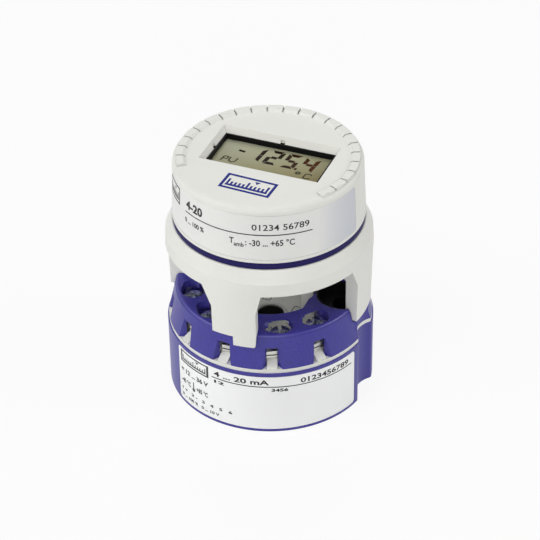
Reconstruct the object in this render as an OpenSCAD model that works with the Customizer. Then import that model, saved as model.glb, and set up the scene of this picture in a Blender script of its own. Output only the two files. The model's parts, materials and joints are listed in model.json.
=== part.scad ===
// Head-mounted temperature transmitter with a clip-on display.
// The origin is the centre of the base, +Z is up, and the mounting holes lie along X.
// The display reads upright for someone who looks along +Y.

/* [Body] */
// Diameter of the transmitter body
body_d = 44; // [43.6:0.1:45]
// Height of the lower cup
cup_h = 15.4; // [14:0.1:18]
// Wall of the lower cup
cup_wall = 1.7; // [1.2:0.1:2]
// Floor of the lower cup
cup_floor = 2; // [1:0.1:3]
// Height of the pale edge between the cup and the cover
flange_h = 0.9; // [0.6:0.1:1.4]
// How far the pale edge stands back from the body
flange_inset = 0.3; // [0:0.1:0.5]
// Radius of the two scallops in the side of the body
scallop_r = 5.5; // [5:0.1:6.5]
// Depth of the two scallops
scallop_depth = 2.2; // [1.8:0.1:2.3]
// Rounding of the scallop edges
scallop_edge_r = 1; // [0.5:0.1:1.4]

/* [Mounting] */
// Distance from the mounting holes to the edge of the body
mount_inset = 5.5; // [5.4:0.1:5.7]
// Diameter of the mounting holes
mount_hole_d = 4.4; // [4:0.1:4.6]
// Wall of the bushes in the mounting holes
bush_wall = 0.4; // [0.3:0.05:0.5]
// Diameter of the wells over the mounting holes
well_d = 9; // [8.4:0.1:9.2]
// Diameter of the central lead-through
lead_bore_d = 5.8; // [5:0.1:7]

/* [Terminal cover] */
// Height of the terminal cover
cover_h = 7.5; // [7.2:0.1:9]
// Inward slope of the cover wall over its height
cover_draft = 1.75; // [1.2:0.05:1.8]
// Wall of the cover at its foot
cover_wall = 1.5; // [1.45:0.05:1.6]
// Thickness of the top of the cover over the screws
cover_top_t = 1.6; // [1.2:0.1:1.6]
// Thickness of the top of the cover inside the screws
cover_lip_t = 0.5; // [0.4:0.1:0.8]
// Width of the top of the cover outside its open middle
cover_ring_w = 9.4; // [9:0.1:9.8]
// Wall between a well and the open middle
cover_web = 1; // [0.8:0.1:1.1]
// Rounding of the cover rim
cover_edge_r = 0.6; // [0.3:0.1:0.8]

/* [Terminals] */
// Number of terminals on each side
terminals_per_side = 5; // [3:1:5]
// Angle between neighbouring terminals
terminal_pitch_deg = 28; // [27.8:0.1:28.4]
// Distance from the screws to the edge of the body
screw_inset = 5.4; // [5.2:0.1:5.6]
// Diameter of the screw heads
screw_head_d = 4.4; // [4:0.1:4.6]
// Height of the screw heads
screw_head_h = 1.8; // [1.4:0.1:2]
// Diameter of the screw shanks
screw_shank_d = 3; // [2.5:0.1:3]
// How far the screw heads lie below the top of the cover
screw_sink = 1.7; // [1.5:0.1:2]
// Thickness of the clamp plates
clamp_t = 0.8; // [0.6:0.1:1]
// Thickness of the contact bars
bar_t = 0.5; // [0.4:0.1:0.8]
// Width of a wire window on its inner side
wire_window_w = 2.35; // [2:0.05:2.6]
// Height of a wire window
wire_window_h = 4.7; // [4:0.1:4.8]
// Slope of the sides of a wire window, which open outward
wire_window_deg = 35; // [20:1:40]
// Angle between neighbouring wire windows
wire_pitch_deg = 28.8; // [28.4:0.1:29]

/* [Bracket] */
// Gap between the top of the cover and the skirt of the bracket
service_gap = 11.2; // [10:0.1:16]
// How far the bracket stands back from the edge of the body
bracket_inset = 0.2; // [0:0.1:0.4]
// Height of the straight part of the skirt
skirt_h = 2.8; // [2.4:0.1:4]
// Height of the sloping shoulder
shoulder_h = 2.75; // [2.4:0.05:4]
// Wall of the skirt
skirt_wall = 1.5; // [1:0.1:1.8]
// Thickness of the bracket floor
bracket_floor_t = 1.4; // [1:0.1:1.8]
// Width of a leg as an angle
leg_deg = 25.7; // [24:0.1:26]
// Thickness of a leg
leg_t = 3.2; // [2.8:0.1:3.4]
// How far the legs stand round from the mounting axis
leg_clock_deg = 1.5; // [1:0.1:2]

/* [Display head] */
// How far the display housing stands back from the bracket
head_inset = 1.7; // [1.5:0.1:1.9]
// Height of the display housing
head_h = 12.6; // [12:0.1:15]
// Inward slope of the housing wall over its height
head_draft = 0.55; // [0.3:0.05:0.8]
// Wall of the display housing at its foot
head_wall = 1.7; // [1.4:0.1:2]
// Top of the display housing
head_top_t = 1.4; // [1.2:0.1:1.8]
// Rounding of the upper rim
head_edge_r = 1; // [0.6:0.1:1.2]
// Height of the blue ring under the housing
base_ring_h = 1.6; // [1:0.05:2]
// Width of the housing beside the display window
window_side = 7.9; // [7.6:0.1:9]
// Depth of the display window from front to back
window_y = 11.9; // [9:0.1:12.2]
// Number of grip pads in a full turn
grips_per_turn = 32; // [28:4:36]
// Number of grip pads on the rim
grip_count = 22; // [16:2:22]
// Height of a grip pad
grip_h = 0.5; // [0.3:0.1:0.7]

/* [Hidden] */

$fn = 96;

// Colours of the materials
blue = [0.27, 0.25, 0.58];
white = [0.89, 0.89, 0.87];
pale_grey = [0.84, 0.84, 0.80];
black = [0.05, 0.05, 0.06];
zinc = [0.72, 0.72, 0.70];
tin = [0.80, 0.80, 0.78];
board_green = [0.10, 0.36, 0.22];
resin = [0.20, 0.20, 0.24];
paper = [0.93, 0.93, 0.93];
gold = [0.85, 0.70, 0.35];
lcd_grey = [0.60, 0.62, 0.50];

// Clearances shared by all pieces, and the overrun of every cut
fit_gap = 0.15;
run_gap = 0.06;
loose_gap = 0.3;
cut = 1;
quarter = 90;
half_turn = 180;
front_deg = 270;

// Heights of the transmitter, from the base up
z_seat = cup_h + flange_h;
z_cover_top = z_seat + cover_h;
z_under_cover = z_cover_top - cover_top_t;
plate_sink = 0.9;
plate_t = 1.5;
z_plate = cup_h - plate_sink;
z_plate_under = z_plate - plate_t;

// Radii of the transmitter
body_r = body_d / 2;
cup_in_r = body_r - cup_wall;
flange_r = body_r - flange_inset;
cover_in_r = flange_r - cover_wall;
scallop_x = body_r - scallop_depth + scallop_r;
spigot_r = cup_in_r - fit_gap;
cover_open_r = body_r - cover_ring_w;
ledge_step = 0.6;
ledge_in_r = cover_open_r - ledge_step;

// Mounting holes, bushes and wells
mount_x = body_r - mount_inset;
mount_hole_r = mount_hole_d / 2;
bush_r = mount_hole_r + bush_wall;
bush_hole_r = bush_r + run_gap;
cup_boss_wall = 1.9;
cup_boss_r = bush_hole_r + cup_boss_wall;
well_r = well_d / 2;
well_slot = 0.7;
well_wall = 1.1;
cover_boss_r = well_r + well_wall;
liner_w = 0.45;
liner_gap = 0.05;
liner_drop = 0.25;
cover_open_w = 2 * (mount_x - well_slot - well_r - cover_web);
well_depth = 3.1;
z_well = z_cover_top - well_depth;
bush_flange_t = 0.8;
bush_flange_step = 0.6;
bush_flange_r = well_r - bush_flange_step;

// Central tube of the carrier
lead_r = lead_bore_d / 2;
lead_wall = 0.65;
lead_tube_r = lead_r + lead_wall;
lead_rim_h = 0.35;
lead_rim_edge = 0.25;

// Screws and clamps, from the top of the cover down
screw_r = body_r - screw_inset;
z_head_top = z_cover_top - screw_sink;
z_head_under = z_head_top - screw_head_h;
collar_h = 0.75;
collar_step = 0.3;
z_collar = z_head_under - collar_h;
z_clamp_top = z_collar - run_gap;
z_clamp = z_clamp_top - clamp_t;
jaw_gap = 0.3;
z_bar_top = z_clamp - jaw_gap;
z_bar = z_bar_top - bar_t;
head_r = screw_head_d / 2;
shank_r = screw_shank_d / 2;
shank_hole_r = shank_r + run_gap;
shank_under_bar = 3;
shank_end_gap = 0.2;
z_shank = z_bar - shank_under_bar;
screw_shift_deg = 1.4;
probe_shift_deg = 5.8;
clamp_left = 3.4;
clamp_right = 2.3;
clamp_in = 2.1;
clamp_out = 2.9;
pin_w = 0.9;
pin_in = 1.6;
pin_left = 2;
drive_slot_w = 0.75;
drive_slot_deep = 1;
z_drive = z_head_top - drive_slot_deep;
drive_cross_share = 0.62;

// Openings of the cover over a terminal
head_hole_gap = 0.4;
head_hole_r = head_r + head_hole_gap;
probe_hole_r = 1.9;
wire_shift_deg = -5.9;
z_wire_window = z_seat + wire_window_h;
room_over = 0.25;
z_room = z_wire_window + room_over;
cover_room_step = 0.8;
cover_room_r = cover_in_r - cover_room_step;
cover_lip_in = 1.6;
cover_lip_r = screw_r - cover_lip_in;
z_under_lip = z_cover_top - cover_lip_t;
cover_rib_t = 0.8;
cover_rib_bite = 0.1;
cover_rib_at = head_hole_r - cover_rib_bite + cover_rib_t / 2;
head_hole_flat = 2.3;

// Terminal seats of the carrier, and the ramps that lead a wire onto them
seat_in = 2.9;
seat_out = 2.3;
seat_in_r = screw_r - seat_in;
seat_out_r = screw_r + seat_out;
ramp_gap = 0.1;
ramp_w = wire_window_w - 2 * ramp_gap;
ramp_top_r = screw_r + clamp_out - fit_gap;
ramp_out_r = flange_r - loose_gap;
ramp_edge = 0.2;

// Boards and electronics of the transmitter
board_t = 1.6;
part_room = 2.4;
z_main = z_plate_under - part_room - board_t;
z_main_top = z_main + board_t;
main_r = cup_in_r - loose_gap;
chip_t = 1.1;
chip_w = 7;
chip_at = [-7.4, -4.6];
small_chip_w = 4.4;
small_chip_at = [6.6, -6.4];
can_r = 1.9;
can_h = 2.2;
can_step = 4.4;
can_at = [-5.6, 7.4];
coil_x = 8.6;
coil_y = 6;
coil_h = 2.3;
coil_core = 1.6;
coil_at = [5.4, 7.6];

// Label on the carrier, and label on the side of the body
film_t = 0.1;
label_t = 0.12;
label_sink = 0.03;
label_seat_t = 0.18;
label_gap = 0.05;
wiring_label_gap = 0.2;
body_label_from = 229.8;
body_label_to = 344.9;
body_label_low = 0.65;
body_label_top_gap = 0.85;
label_corner_r = 1;
label_corner_in = 0.94;
label_edge_deg = 0.12;

// Plug of the display unit and its socket
plug_x = 8.6;
plug_w = 2.8;
plug_y = 2.1;
plug_l = 5.2;
socket_rim = 0.3;
socket_h = 3;
z_socket = z_plate + socket_h;
pin_r = 0.3;
pin_gap = 0.05;
sleeve_wall = 0.2;
sleeve_floor = 0.4;
pin_step_x = 1.3;
pin_step_y = 1.6;
pin_end_gap = 0.3;

// Heights of the bracket and the display head
z_skirt = z_cover_top + service_gap;
z_shoulder = z_skirt + skirt_h;
z_bracket_top = z_shoulder + shoulder_h;
base_sink = 0.65;
z_base = z_bracket_top - base_sink;
z_floor = z_base - loose_gap;
z_floor_under = z_floor - bracket_floor_t;
z_head = z_bracket_top + base_ring_h;
z_top_face = z_head + head_h;

// Radii of the bracket and the display head
bracket_r = body_r - bracket_inset;
housing_r = bracket_r - head_inset;
base_inset = 0.75;
base_r = housing_r - base_inset;
base_rim_inset = 0.1;
base_rim_r = housing_r - base_rim_inset;
base_rim_gap = 0.1;
z_base_rim = z_bracket_top + base_rim_gap;
rim_gap = 0.25;
rim_in_r = base_r + rim_gap;
rim_w = 0.6;
shoulder_in = 0.15;
skirt_in_r = bracket_r - skirt_wall;

// Legs of the bracket
leg_half_deg = leg_deg / 2;
leg_in_r = bracket_r - leg_t;
leg_lean = 0.35;
leg_floor_gap = 0.3;
z_leg = z_well + leg_floor_gap;
foot_gap = 0.15;
z_foot = z_cover_top + foot_gap;
leg_flare_h = 4.6;
leg_flare_left = 2.2;
leg_flare_right = 1.15;
leg_span = 12;
leg_relief_gap = 0.35;
leg_relief_r = well_r - leg_relief_gap;
pocket_gap_deg = 0.75;
pocket_wall_deg = 1.4;
pocket_gap = 0.3;
tab_step_deg = 12.6;
tab_t = 0.8;
tab_down = 2.1;
tab_taper = 0.2;
tab_taper_h = 3;
tab_corner = 0.3;
z_tab = z_cover_top - tab_down;

// Turning joint between the bracket and the display head
spindle_r = 5.9;
spindle_hole_r = spindle_r + run_gap;
spindle_bore_r = 2.8;
snap_step = 0.6;
snap_h = 0.7;
snap_slot = 1.2;
snap_slot_h = 1.9;
z_snap_top = z_floor_under - loose_gap;
z_snap = z_snap_top - snap_h;
stop_inset = 2.95;
stop_w = 2.4;
stop_in_r = base_r - stop_inset - stop_w;
stop_h = 0.7;
stop_deg = 10;
groove_h = 1;
z_groove = z_base + groove_h;

// Plug arm under the bracket floor
arm_t = 1.8;
arm_back = 9.6;
arm_pad = 2.3;
arm_front = 3.6;
z_arm = z_snap - loose_gap - arm_t;

// Inside of the display head, from the top down
window_x = 2 * (housing_r - window_side);
window_at = 1;
window_bevel = 0.75;
mould_notch_w = 1;
mould_notch = 0.45;
mould_notch_at = 0.4;
z_housing_under = z_top_face - head_top_t;
housing_in_r = housing_r - head_wall;
bezel_t = 1.2;
bezel_rim = 1.5;
bezel_lip = 0.3;
panel_t = 1.6;
panel_step = 0.25;
strip_h = 2.4;
strip_w = 1.6;
strip_short = 1.2;
z_bezel = z_housing_under - bezel_t;
z_panel = z_bezel - panel_t;
z_board_top = z_panel - strip_h;
z_board = z_board_top - board_t;
base_floor_t = 1.8;
spigot_wall = 1.4;
base_spigot_r = housing_in_r - fit_gap;
base_room_r = base_spigot_r - spigot_wall;
driver_w = 8;
driver_at = [-8, -5];
driver_t = 1.2;
jack_r = 2.4;
jack_h = 2;
cell_w = 4;
cell_at = [6, -7];
lead_core_r = 1.6;
head_label_half_deg = 84;
head_label_low = 0.8;
head_label_high = 11;
grip_out_gap = 0.75;
grip_w = 2.1;
grip_slope = 0.6;
grip_space = 0.35;

function turn(deg) = [cos(deg), sin(deg)];
function row_deg(k) = front_deg + half_turn * floor(k / terminals_per_side);
function row_step(k) = k % terminals_per_side - (terminals_per_side - 1) / 2;
function screw_deg(k) = row_deg(k) + screw_shift_deg + row_step(k) * terminal_pitch_deg;
function wire_deg(k) = row_deg(k) + wire_shift_deg + row_step(k) * wire_pitch_deg;
function cover_r(z) = flange_r - cover_draft * (z - z_seat) / cover_h;
function leg_r(z) = bracket_r - leg_lean * (z_skirt - z) / (z_skirt - z_leg);
function housing_side_r(z) = housing_r - head_draft * (z - z_head) / head_h;

// A ring between two radii and two heights
module ring(in_r, out_r, low, high) {
    translate([0, 0, low])
        difference() {
            cylinder(r = out_r, h = high - low);
            translate([0, 0, -cut])
                cylinder(r = in_r, h = high - low + 2 * cut);
        }
}

// A round bar between two heights, at a place in plan
module rod(r, low, high, at = [0, 0]) {
    translate([at[0], at[1], low])
        cylinder(r = r, h = high - low);
}

// A block between two heights, given by its middle and its size in plan
module block(at, size, low, high) {
    translate([at[0] - size[0] / 2, at[1] - size[1] / 2, low])
        cube([size[0], size[1], high - low]);
}

// A wedge of plan between two directions
module wedge(from_deg, to_deg, r, low, high) {
    middle = (from_deg + to_deg) / 2;
    reach = r / cos((to_deg - from_deg) / 2);
    translate([0, 0, low])
        linear_extrude(height = high - low)
            polygon([[0, 0], reach * turn(from_deg), reach * turn(middle), reach * turn(to_deg)]);
}

// A prism that runs outward along a direction, from an outline across it and up
module outward(deg, in_r, out_r, points) {
    rotate([0, 0, deg])
        translate([in_r, 0, 0])
            rotate([quarter, 0, quarter])
                linear_extrude(height = out_r - in_r)
                    polygon(points);
}

// Copies at the two mounting holes
module at_mounts() {
    for (deg = [0, half_turn])
        rotate([0, 0, deg])
            children();
}

// Copies at all terminals, with X outward through the screw
module at_terminals() {
    for (k = [0 : 2 * terminals_per_side - 1])
        rotate([0, 0, screw_deg(k)])
            children();
}

// Plan of one scallop, with the corners beside it rounded
module scallop_plan() {
    edge_orbit = body_r - scallop_edge_r;
    edge_reach = scallop_r + scallop_edge_r;
    edge_x = (pow(edge_orbit, 2) - pow(edge_reach, 2) + pow(scallop_x, 2)) / (2 * scallop_x);
    edge_y = sqrt(pow(edge_orbit, 2) - pow(edge_x, 2));
    translate([scallop_x, 0])
        circle(r = scallop_r);
    for (side = [-1, 1]) {
        edge = [edge_x, side * edge_y];
        difference() {
            polygon([edge, edge * (body_r + cut) / edge_orbit, [scallop_x, 0]]);
            translate(edge)
                circle(r = scallop_edge_r);
        }
    }
}

module scallops(low, high) {
    at_mounts()
        translate([0, 0, low])
            linear_extrude(height = high - low)
                scallop_plan();
}

// Space behind the wall of a scallop
module scallop_walls(wall, low, high) {
    at_mounts()
        rod(scallop_r + wall, low, high, [scallop_x, 0]);
}

// Part of a round shell between two directions, with round corners, for labels
module label_shell(in_r, out_r, low, high, from_deg, to_deg) {
    outline = [[in_r[0], low], [out_r[0], low], [out_r[1], high], [in_r[1], high]];
    difference() {
        rotate([0, 0, from_deg])
            rotate_extrude(angle = to_deg - from_deg)
                polygon(outline);
        for (up = [-1, 1], last = [-1, 1])
            label_corner_cut(up > 0 ? high : low, last > 0 ? to_deg : from_deg, up, last);
    }
}

// Cutter that rounds one corner of a label
module label_corner_cut(z, deg, up, last) {
    in_z = z - up * label_corner_in;
    in_y = -last * label_corner_in;
    rotate([0, 0, deg])
        rotate([quarter, 0, quarter])
            linear_extrude(height = body_r + cut)
                difference() {
                    polygon([
                        [in_y, in_z],
                        [in_y, z + up * cut],
                        [last * cut, z + up * cut],
                        [last * cut, in_z]
                    ]);
                    translate([in_y, in_z])
                        circle(r = label_corner_r);
                }
}

module lower_cup() {
    color(blue)
        difference() {
            union() {
                difference() {
                    rod(body_r, 0, cup_h);
                    difference() {
                        rod(cup_in_r, cup_floor, cup_h + cut);
                        scallop_walls(cup_wall, 0, cup_h + 2 * cut);
                    }
                }
                at_mounts()
                    intersection() {
                        rod(cup_boss_r, 0, z_plate_under, [mount_x, 0]);
                        rod(cup_in_r, 0, z_plate_under);
                    }
            }
            scallops(-cut, cup_h + cut);
            at_mounts()
                rod(bush_hole_r, -cut, cup_h + cut, [mount_x, 0]);
            rod(lead_tube_r + run_gap, -cut, cup_floor + cut);
            label_shell([body_r - label_seat_t, body_r - label_seat_t], [body_r + cut, body_r + cut],
                body_label_low - label_gap, cup_h - body_label_top_gap + label_gap,
                body_label_from - label_edge_deg, body_label_to + label_edge_deg);
        }
}

// Form of a well, drawn out toward the middle of the body
module well_form(r, low, high) {
    rod(r, low, high, [mount_x, 0]);
    rod(r, low, high, [mount_x - well_slot, 0]);
    block([mount_x - well_slot / 2, 0], [well_slot, 2 * r], low, high);
}

// Bushes with a flange on the floor of the well and a liner up its wall
module mount_bushes() {
    z_flange = z_well + bush_flange_t;
    color(black)
        at_mounts()
            difference() {
                union() {
                    rod(bush_r, 0, z_flange, [mount_x, 0]);
                    rod(bush_flange_r, z_well, z_flange, [mount_x, 0]);
                    difference() {
                        well_form(well_r + liner_w, z_well, z_cover_top - liner_drop);
                        well_form(well_r, z_flange, z_cover_top);
                        pocket_block(z_well - cut, z_cover_top, fit_gap, pocket_wall_deg);
                    }
                }
                rod(mount_hole_r, -cut, z_flange + cut, [mount_x, 0]);
            }
}

module terminal_carrier() {
    color(pale_grey)
        difference() {
            union() {
                rod(spigot_r, z_plate_under, z_plate);
                ring(ledge_in_r, spigot_r, z_plate_under, z_seat);
                ring(ledge_in_r, flange_r, cup_h, z_seat);
                difference() {
                    union() {
                        ring(seat_in_r, seat_out_r, z_plate, z_bar);
                        for (k = [0 : 2 * terminals_per_side - 1])
                            wire_ramp(wire_deg(k));
                    }
                    at_mounts() {
                        rod(cover_boss_r + fit_gap, z_seat, z_cover_top, [mount_x, 0]);
                        pocket_block(z_seat, z_cover_top, fit_gap, pocket_wall_deg * 2);
                    }
                }
                rod(lead_tube_r, 0, z_plate);
                rotate_extrude()
                    polygon([
                        [0, z_plate],
                        [lead_tube_r, z_plate],
                        [lead_tube_r, z_plate + lead_rim_h - lead_rim_edge],
                        [lead_tube_r - lead_rim_edge, z_plate + lead_rim_h],
                        [0, z_plate + lead_rim_h]
                    ]);
            }
            rod(lead_r, -cut, z_plate + lead_rim_h + cut);
            scallops(z_plate_under - cut, z_seat + cut);
            difference() {
                scallop_walls(cup_wall + fit_gap, z_plate_under - cut, cup_h);
                rod(ledge_in_r, 0, cup_h + cut);
            }
            at_mounts()
                rod(bush_hole_r, z_plate_under - cut, z_seat + cut, [mount_x, 0]);
            at_terminals() {
                rod(shank_hole_r, z_shank - shank_end_gap, z_bar + cut, [screw_r, 0]);
                block([screw_r - pin_in, -pin_left], [pin_w + 2 * fit_gap, pin_w + 2 * fit_gap],
                    z_plate_under - cut, z_bar + cut);
            }
        }
}

// Ramp that guides a wire from its window up to the clamp
module wire_ramp(deg) {
    rotate([0, 0, deg])
        translate([0, ramp_w / 2, 0])
            rotate([quarter, 0, 0])
                linear_extrude(height = ramp_w)
                    polygon([
                        [seat_out_r - ramp_edge, z_seat - flange_h / 2],
                        [ramp_out_r, z_seat - flange_h / 2],
                        [ramp_out_r, z_seat + ramp_edge],
                        [ramp_top_r, z_bar - ramp_edge],
                        [ramp_top_r - ramp_edge, z_bar],
                        [seat_out_r - ramp_edge, z_bar]
                    ]);
}

// Room for the legs that stand over the scallops, or the wall round that room
module pocket_block(low, high, grow, grow_deg) {
    intersection() {
        wedge(leg_clock_deg - leg_half_deg - pocket_gap_deg - grow_deg,
            leg_clock_deg + leg_half_deg + pocket_gap_deg + grow_deg, body_r + cut, low, high);
        ring(leg_in_r - pocket_gap - grow, body_r + cut, low, high);
    }
}

module wiring_label() {
    color(paper)
        difference() {
            rod(ledge_in_r - wiring_label_gap, z_plate, z_plate + film_t);
            rod(lead_tube_r + wiring_label_gap, 0, z_plate + cut);
            block([plug_x, plug_y], [plug_w + 2 * socket_rim + 2 * wiring_label_gap,
                plug_l + 2 * socket_rim + 2 * wiring_label_gap], 0, z_plate + cut);
        }
}

// Plan of the opening over one terminal: round over the screw, narrower over the wire
module screw_hole_plan() {
    wire_y = screw_r * sin(probe_shift_deg);
    slant = (probe_hole_r - head_hole_r) / wire_y;
    lean = sqrt(1 - slant * slant);
    intersection() {
        translate([screw_r, 0])
            circle(r = head_hole_r);
        translate([screw_r - head_hole_flat, -head_hole_r])
            square(2 * head_hole_r);
    }
    translate([screw_r, -wire_y])
        circle(r = probe_hole_r);
    polygon([
        [screw_r + head_hole_r * lean, head_hole_r * slant],
        [screw_r + probe_hole_r * lean, probe_hole_r * slant - wire_y],
        [screw_r - probe_hole_r * lean, probe_hole_r * slant - wire_y],
        [screw_r - head_hole_flat, -head_hole_flat * slant]
    ]);
}

// One wire window, a funnel in plan that opens outward
module wire_window(k) {
    out_r = body_r + cut;
    in_w = wire_window_w / 2;
    out_w = in_w + (out_r - cover_in_r) * tan(wire_window_deg);
    rotate([0, 0, wire_deg(k)])
        translate([0, 0, z_seat - cut])
            linear_extrude(height = wire_window_h + cut)
                polygon([
                    [cover_room_r - cut, -in_w],
                    [cover_in_r, -in_w],
                    [out_r, -out_w],
                    [out_r, out_w],
                    [cover_in_r, in_w],
                    [cover_room_r - cut, in_w]
                ]);
}

// Shell of the cover: a sloping wall under a flat ring with rounded edges
module cover_shell() {
    edge_x = cover_r(z_cover_top) - cover_edge_r;
    difference() {
        rotate_extrude()
            union() {
                polygon([
                    [ledge_in_r - cut, z_seat],
                    [flange_r, z_seat],
                    [cover_r(z_cover_top - cover_edge_r), z_cover_top - cover_edge_r],
                    [edge_x, z_cover_top - cover_edge_r],
                    [edge_x, z_cover_top],
                    [ledge_in_r - cut, z_cover_top]
                ]);
                intersection() {
                    translate([edge_x, z_cover_top - cover_edge_r])
                        circle(r = cover_edge_r);
                    translate([edge_x - cover_edge_r, z_cover_top - cover_edge_r])
                        square(2 * cover_edge_r);
                }
            }
        rotate_extrude()
            polygon([
                [0, z_seat - cut],
                [cover_in_r, z_seat - cut],
                [cover_in_r, z_room],
                [cover_room_r, z_under_cover],
                [cover_lip_r, z_under_cover],
                [cover_lip_r, z_under_lip],
                [0, z_under_lip]
            ]);
    }
}

// Ribs under the cover, between the terminals
module cover_ribs() {
    z_rib = z_bar + fit_gap;
    intersection() {
        union() {
            at_terminals()
                block([screw_r, cover_rib_at], [screw_r, cover_rib_t],
                    z_rib, z_cover_top - cover_lip_t / 2);
        }
        ring(seat_in_r, cover_in_r + fit_gap, z_rib, z_cover_top);
    }
}

module terminal_cover() {
    color(blue)
        difference() {
            union() {
                cover_shell();
                cover_ribs();
                at_mounts() {
                    rod(cover_boss_r, z_seat, z_cover_top, [mount_x, 0]);
                    intersection() {
                        pocket_block(z_seat, z_cover_top - cut, fit_gap, pocket_wall_deg);
                        rod(cover_in_r + fit_gap, z_seat, z_cover_top);
                    }
                }
            }
            translate([0, 0, z_seat - cut])
                linear_extrude(height = cover_h + 2 * cut)
                    intersection() {
                        circle(r = cover_open_r);
                        square([cover_open_w, 2 * cover_open_r], center = true);
                    }
            at_mounts() {
                well_form(well_r + liner_w + liner_gap, z_well, z_cover_top + cut);
                rod(bush_hole_r, z_seat - cut, z_well + cut, [mount_x, 0]);
                pocket_block(z_well, z_cover_top + cut, 0, 0);
            }
            scallops(z_seat - cut, z_cover_top + cut);
            for (k = [0 : 2 * terminals_per_side - 1])
                wire_window(k);
            at_terminals()
                translate([0, 0, z_seat])
                    linear_extrude(height = cover_h + cut)
                        screw_hole_plan();
        }
}

module contact_bars() {
    color(tin)
        at_terminals()
            difference() {
                union() {
                    translate([screw_r - clamp_in, -clamp_left, z_bar])
                        cube([clamp_in + clamp_out, clamp_left + clamp_right, bar_t]);
                    block([screw_r - pin_in, -pin_left], [pin_w, pin_w], z_main_top, z_bar + bar_t / 2);
                }
                rod(shank_hole_r, z_bar - cut, z_bar_top + cut, [screw_r, 0]);
            }
}

module main_board() {
    color(board_green)
        difference() {
            rod(main_r, z_main, z_main_top);
            rod(lead_tube_r + loose_gap, z_main - cut, z_main_top + cut);
            at_mounts()
                rod(cup_boss_r + loose_gap, z_main - cut, z_main_top + cut, [mount_x, 0]);
            scallop_walls(cup_wall + loose_gap, z_main - cut, z_main_top + cut);
        }
}

module board_chips() {
    color(black) {
        block(chip_at, [chip_w, chip_w], z_main_top, z_main_top + chip_t);
        block(small_chip_at, [small_chip_w, small_chip_w], z_main_top, z_main_top + chip_t);
        for (i = [0 : 1])
            rod(can_r, z_main_top, z_main_top + can_h, [can_at[0] + i * can_step, can_at[1]]);
    }
}

module signal_transformer() {
    color(resin)
        difference() {
            block(coil_at, [coil_x, coil_y], z_main_top, z_main_top + coil_h);
            for (side = [-1, 1])
                block([coil_at[0] + side * coil_x / 2, coil_at[1]], [2 * coil_core, coil_y - 2 * coil_core],
                    z_main_top + coil_core / 2, z_main_top + coil_h + cut);
        }
}

module potting_resin() {
    color(resin)
        difference() {
            rod(cup_in_r - run_gap, cup_floor, z_main);
            rod(lead_tube_r + run_gap, cup_floor - cut, z_main + cut);
            at_mounts()
                rod(cup_boss_r + run_gap, cup_floor - cut, z_main + cut, [mount_x, 0]);
            scallop_walls(cup_wall + run_gap, cup_floor - cut, z_main + cut);
        }
}

// Copies at the contacts of the plug
module at_contacts() {
    for (i = [-0.5, 0.5], j = [-1, 0, 1])
        translate([plug_x + i * pin_step_x, plug_y + j * pin_step_y, 0])
            children();
}

module interface_socket() {
    color(pale_grey)
        difference() {
            block([plug_x, plug_y], [plug_w + 2 * socket_rim, plug_l + 2 * socket_rim], z_plate, z_socket);
            at_contacts()
                rod(pin_r + pin_gap + sleeve_wall + pin_gap, z_plate + sleeve_floor, z_socket + cut);
        }
}

module socket_sleeves() {
    color(gold)
        at_contacts()
            ring(pin_r + pin_gap, pin_r + pin_gap + sleeve_wall, z_plate + sleeve_floor, z_socket);
}

module body_label() {
    in_r = body_r - label_sink - label_t;
    color(paper)
        label_shell([in_r, in_r], [in_r + label_t, in_r + label_t],
            body_label_low, cup_h - body_label_top_gap, body_label_from, body_label_to);
}

module terminal_screw(k) {
    cross_w = 2 * head_r * drive_cross_share;
    color(zinc)
        rotate([0, 0, screw_deg(k)])
            difference() {
                union() {
                    rod(head_r, z_head_under, z_head_top, [screw_r, 0]);
                    rod(head_r - collar_step, z_collar, z_head_under + screw_head_h / 2, [screw_r, 0]);
                    rod(shank_r, z_shank, z_head_under + screw_head_h / 2, [screw_r, 0]);
                }
                translate([screw_r, 0, 0]) {
                    block([0, 0], [2 * head_r + cut, drive_slot_w], z_drive, z_head_top + cut);
                    block([0, 0], [drive_slot_w, cross_w], z_drive, z_head_top + cut);
                }
            }
}

module clamp_plate(k) {
    color(tin)
        rotate([0, 0, screw_deg(k)])
            difference() {
                translate([screw_r - clamp_in, -clamp_left, z_clamp])
                    cube([clamp_in + clamp_out, clamp_left + clamp_right, clamp_t]);
                rod(shank_hole_r, z_clamp - cut, z_clamp_top + cut, [screw_r, 0]);
            }
}

// Keeps what lies to one side of a leg's edge, which flares below the skirt
module leg_side(deg, side, flare) {
    over = (leg_flare_h + skirt_h / 2) / leg_flare_h;
    outward(deg, leg_in_r - leg_t, bracket_r + cut, [
        [0, z_tab - cut],
        [side * leg_span, z_tab - cut],
        [side * leg_span, z_bracket_top],
        [-side * flare * over, z_bracket_top],
        [-side * flare * over, z_skirt + skirt_h / 2],
        [0, z_skirt - leg_flare_h]
    ]);
}

// One leg, from its foot up to the bracket floor
module leg(deg, foot) {
    from_deg = deg - leg_half_deg;
    to_deg = deg + leg_half_deg;
    intersection() {
        rotate_extrude()
            polygon([
                [leg_in_r, foot],
                [leg_r(foot), foot],
                [bracket_r, z_skirt],
                [bracket_r - skirt_wall / 2, z_floor_under + cut / 2],
                [leg_in_r, z_floor_under + cut / 2]
            ]);
        leg_side(from_deg, 1, leg_flare_left);
        leg_side(to_deg, -1, leg_flare_right);
    }
}

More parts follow.
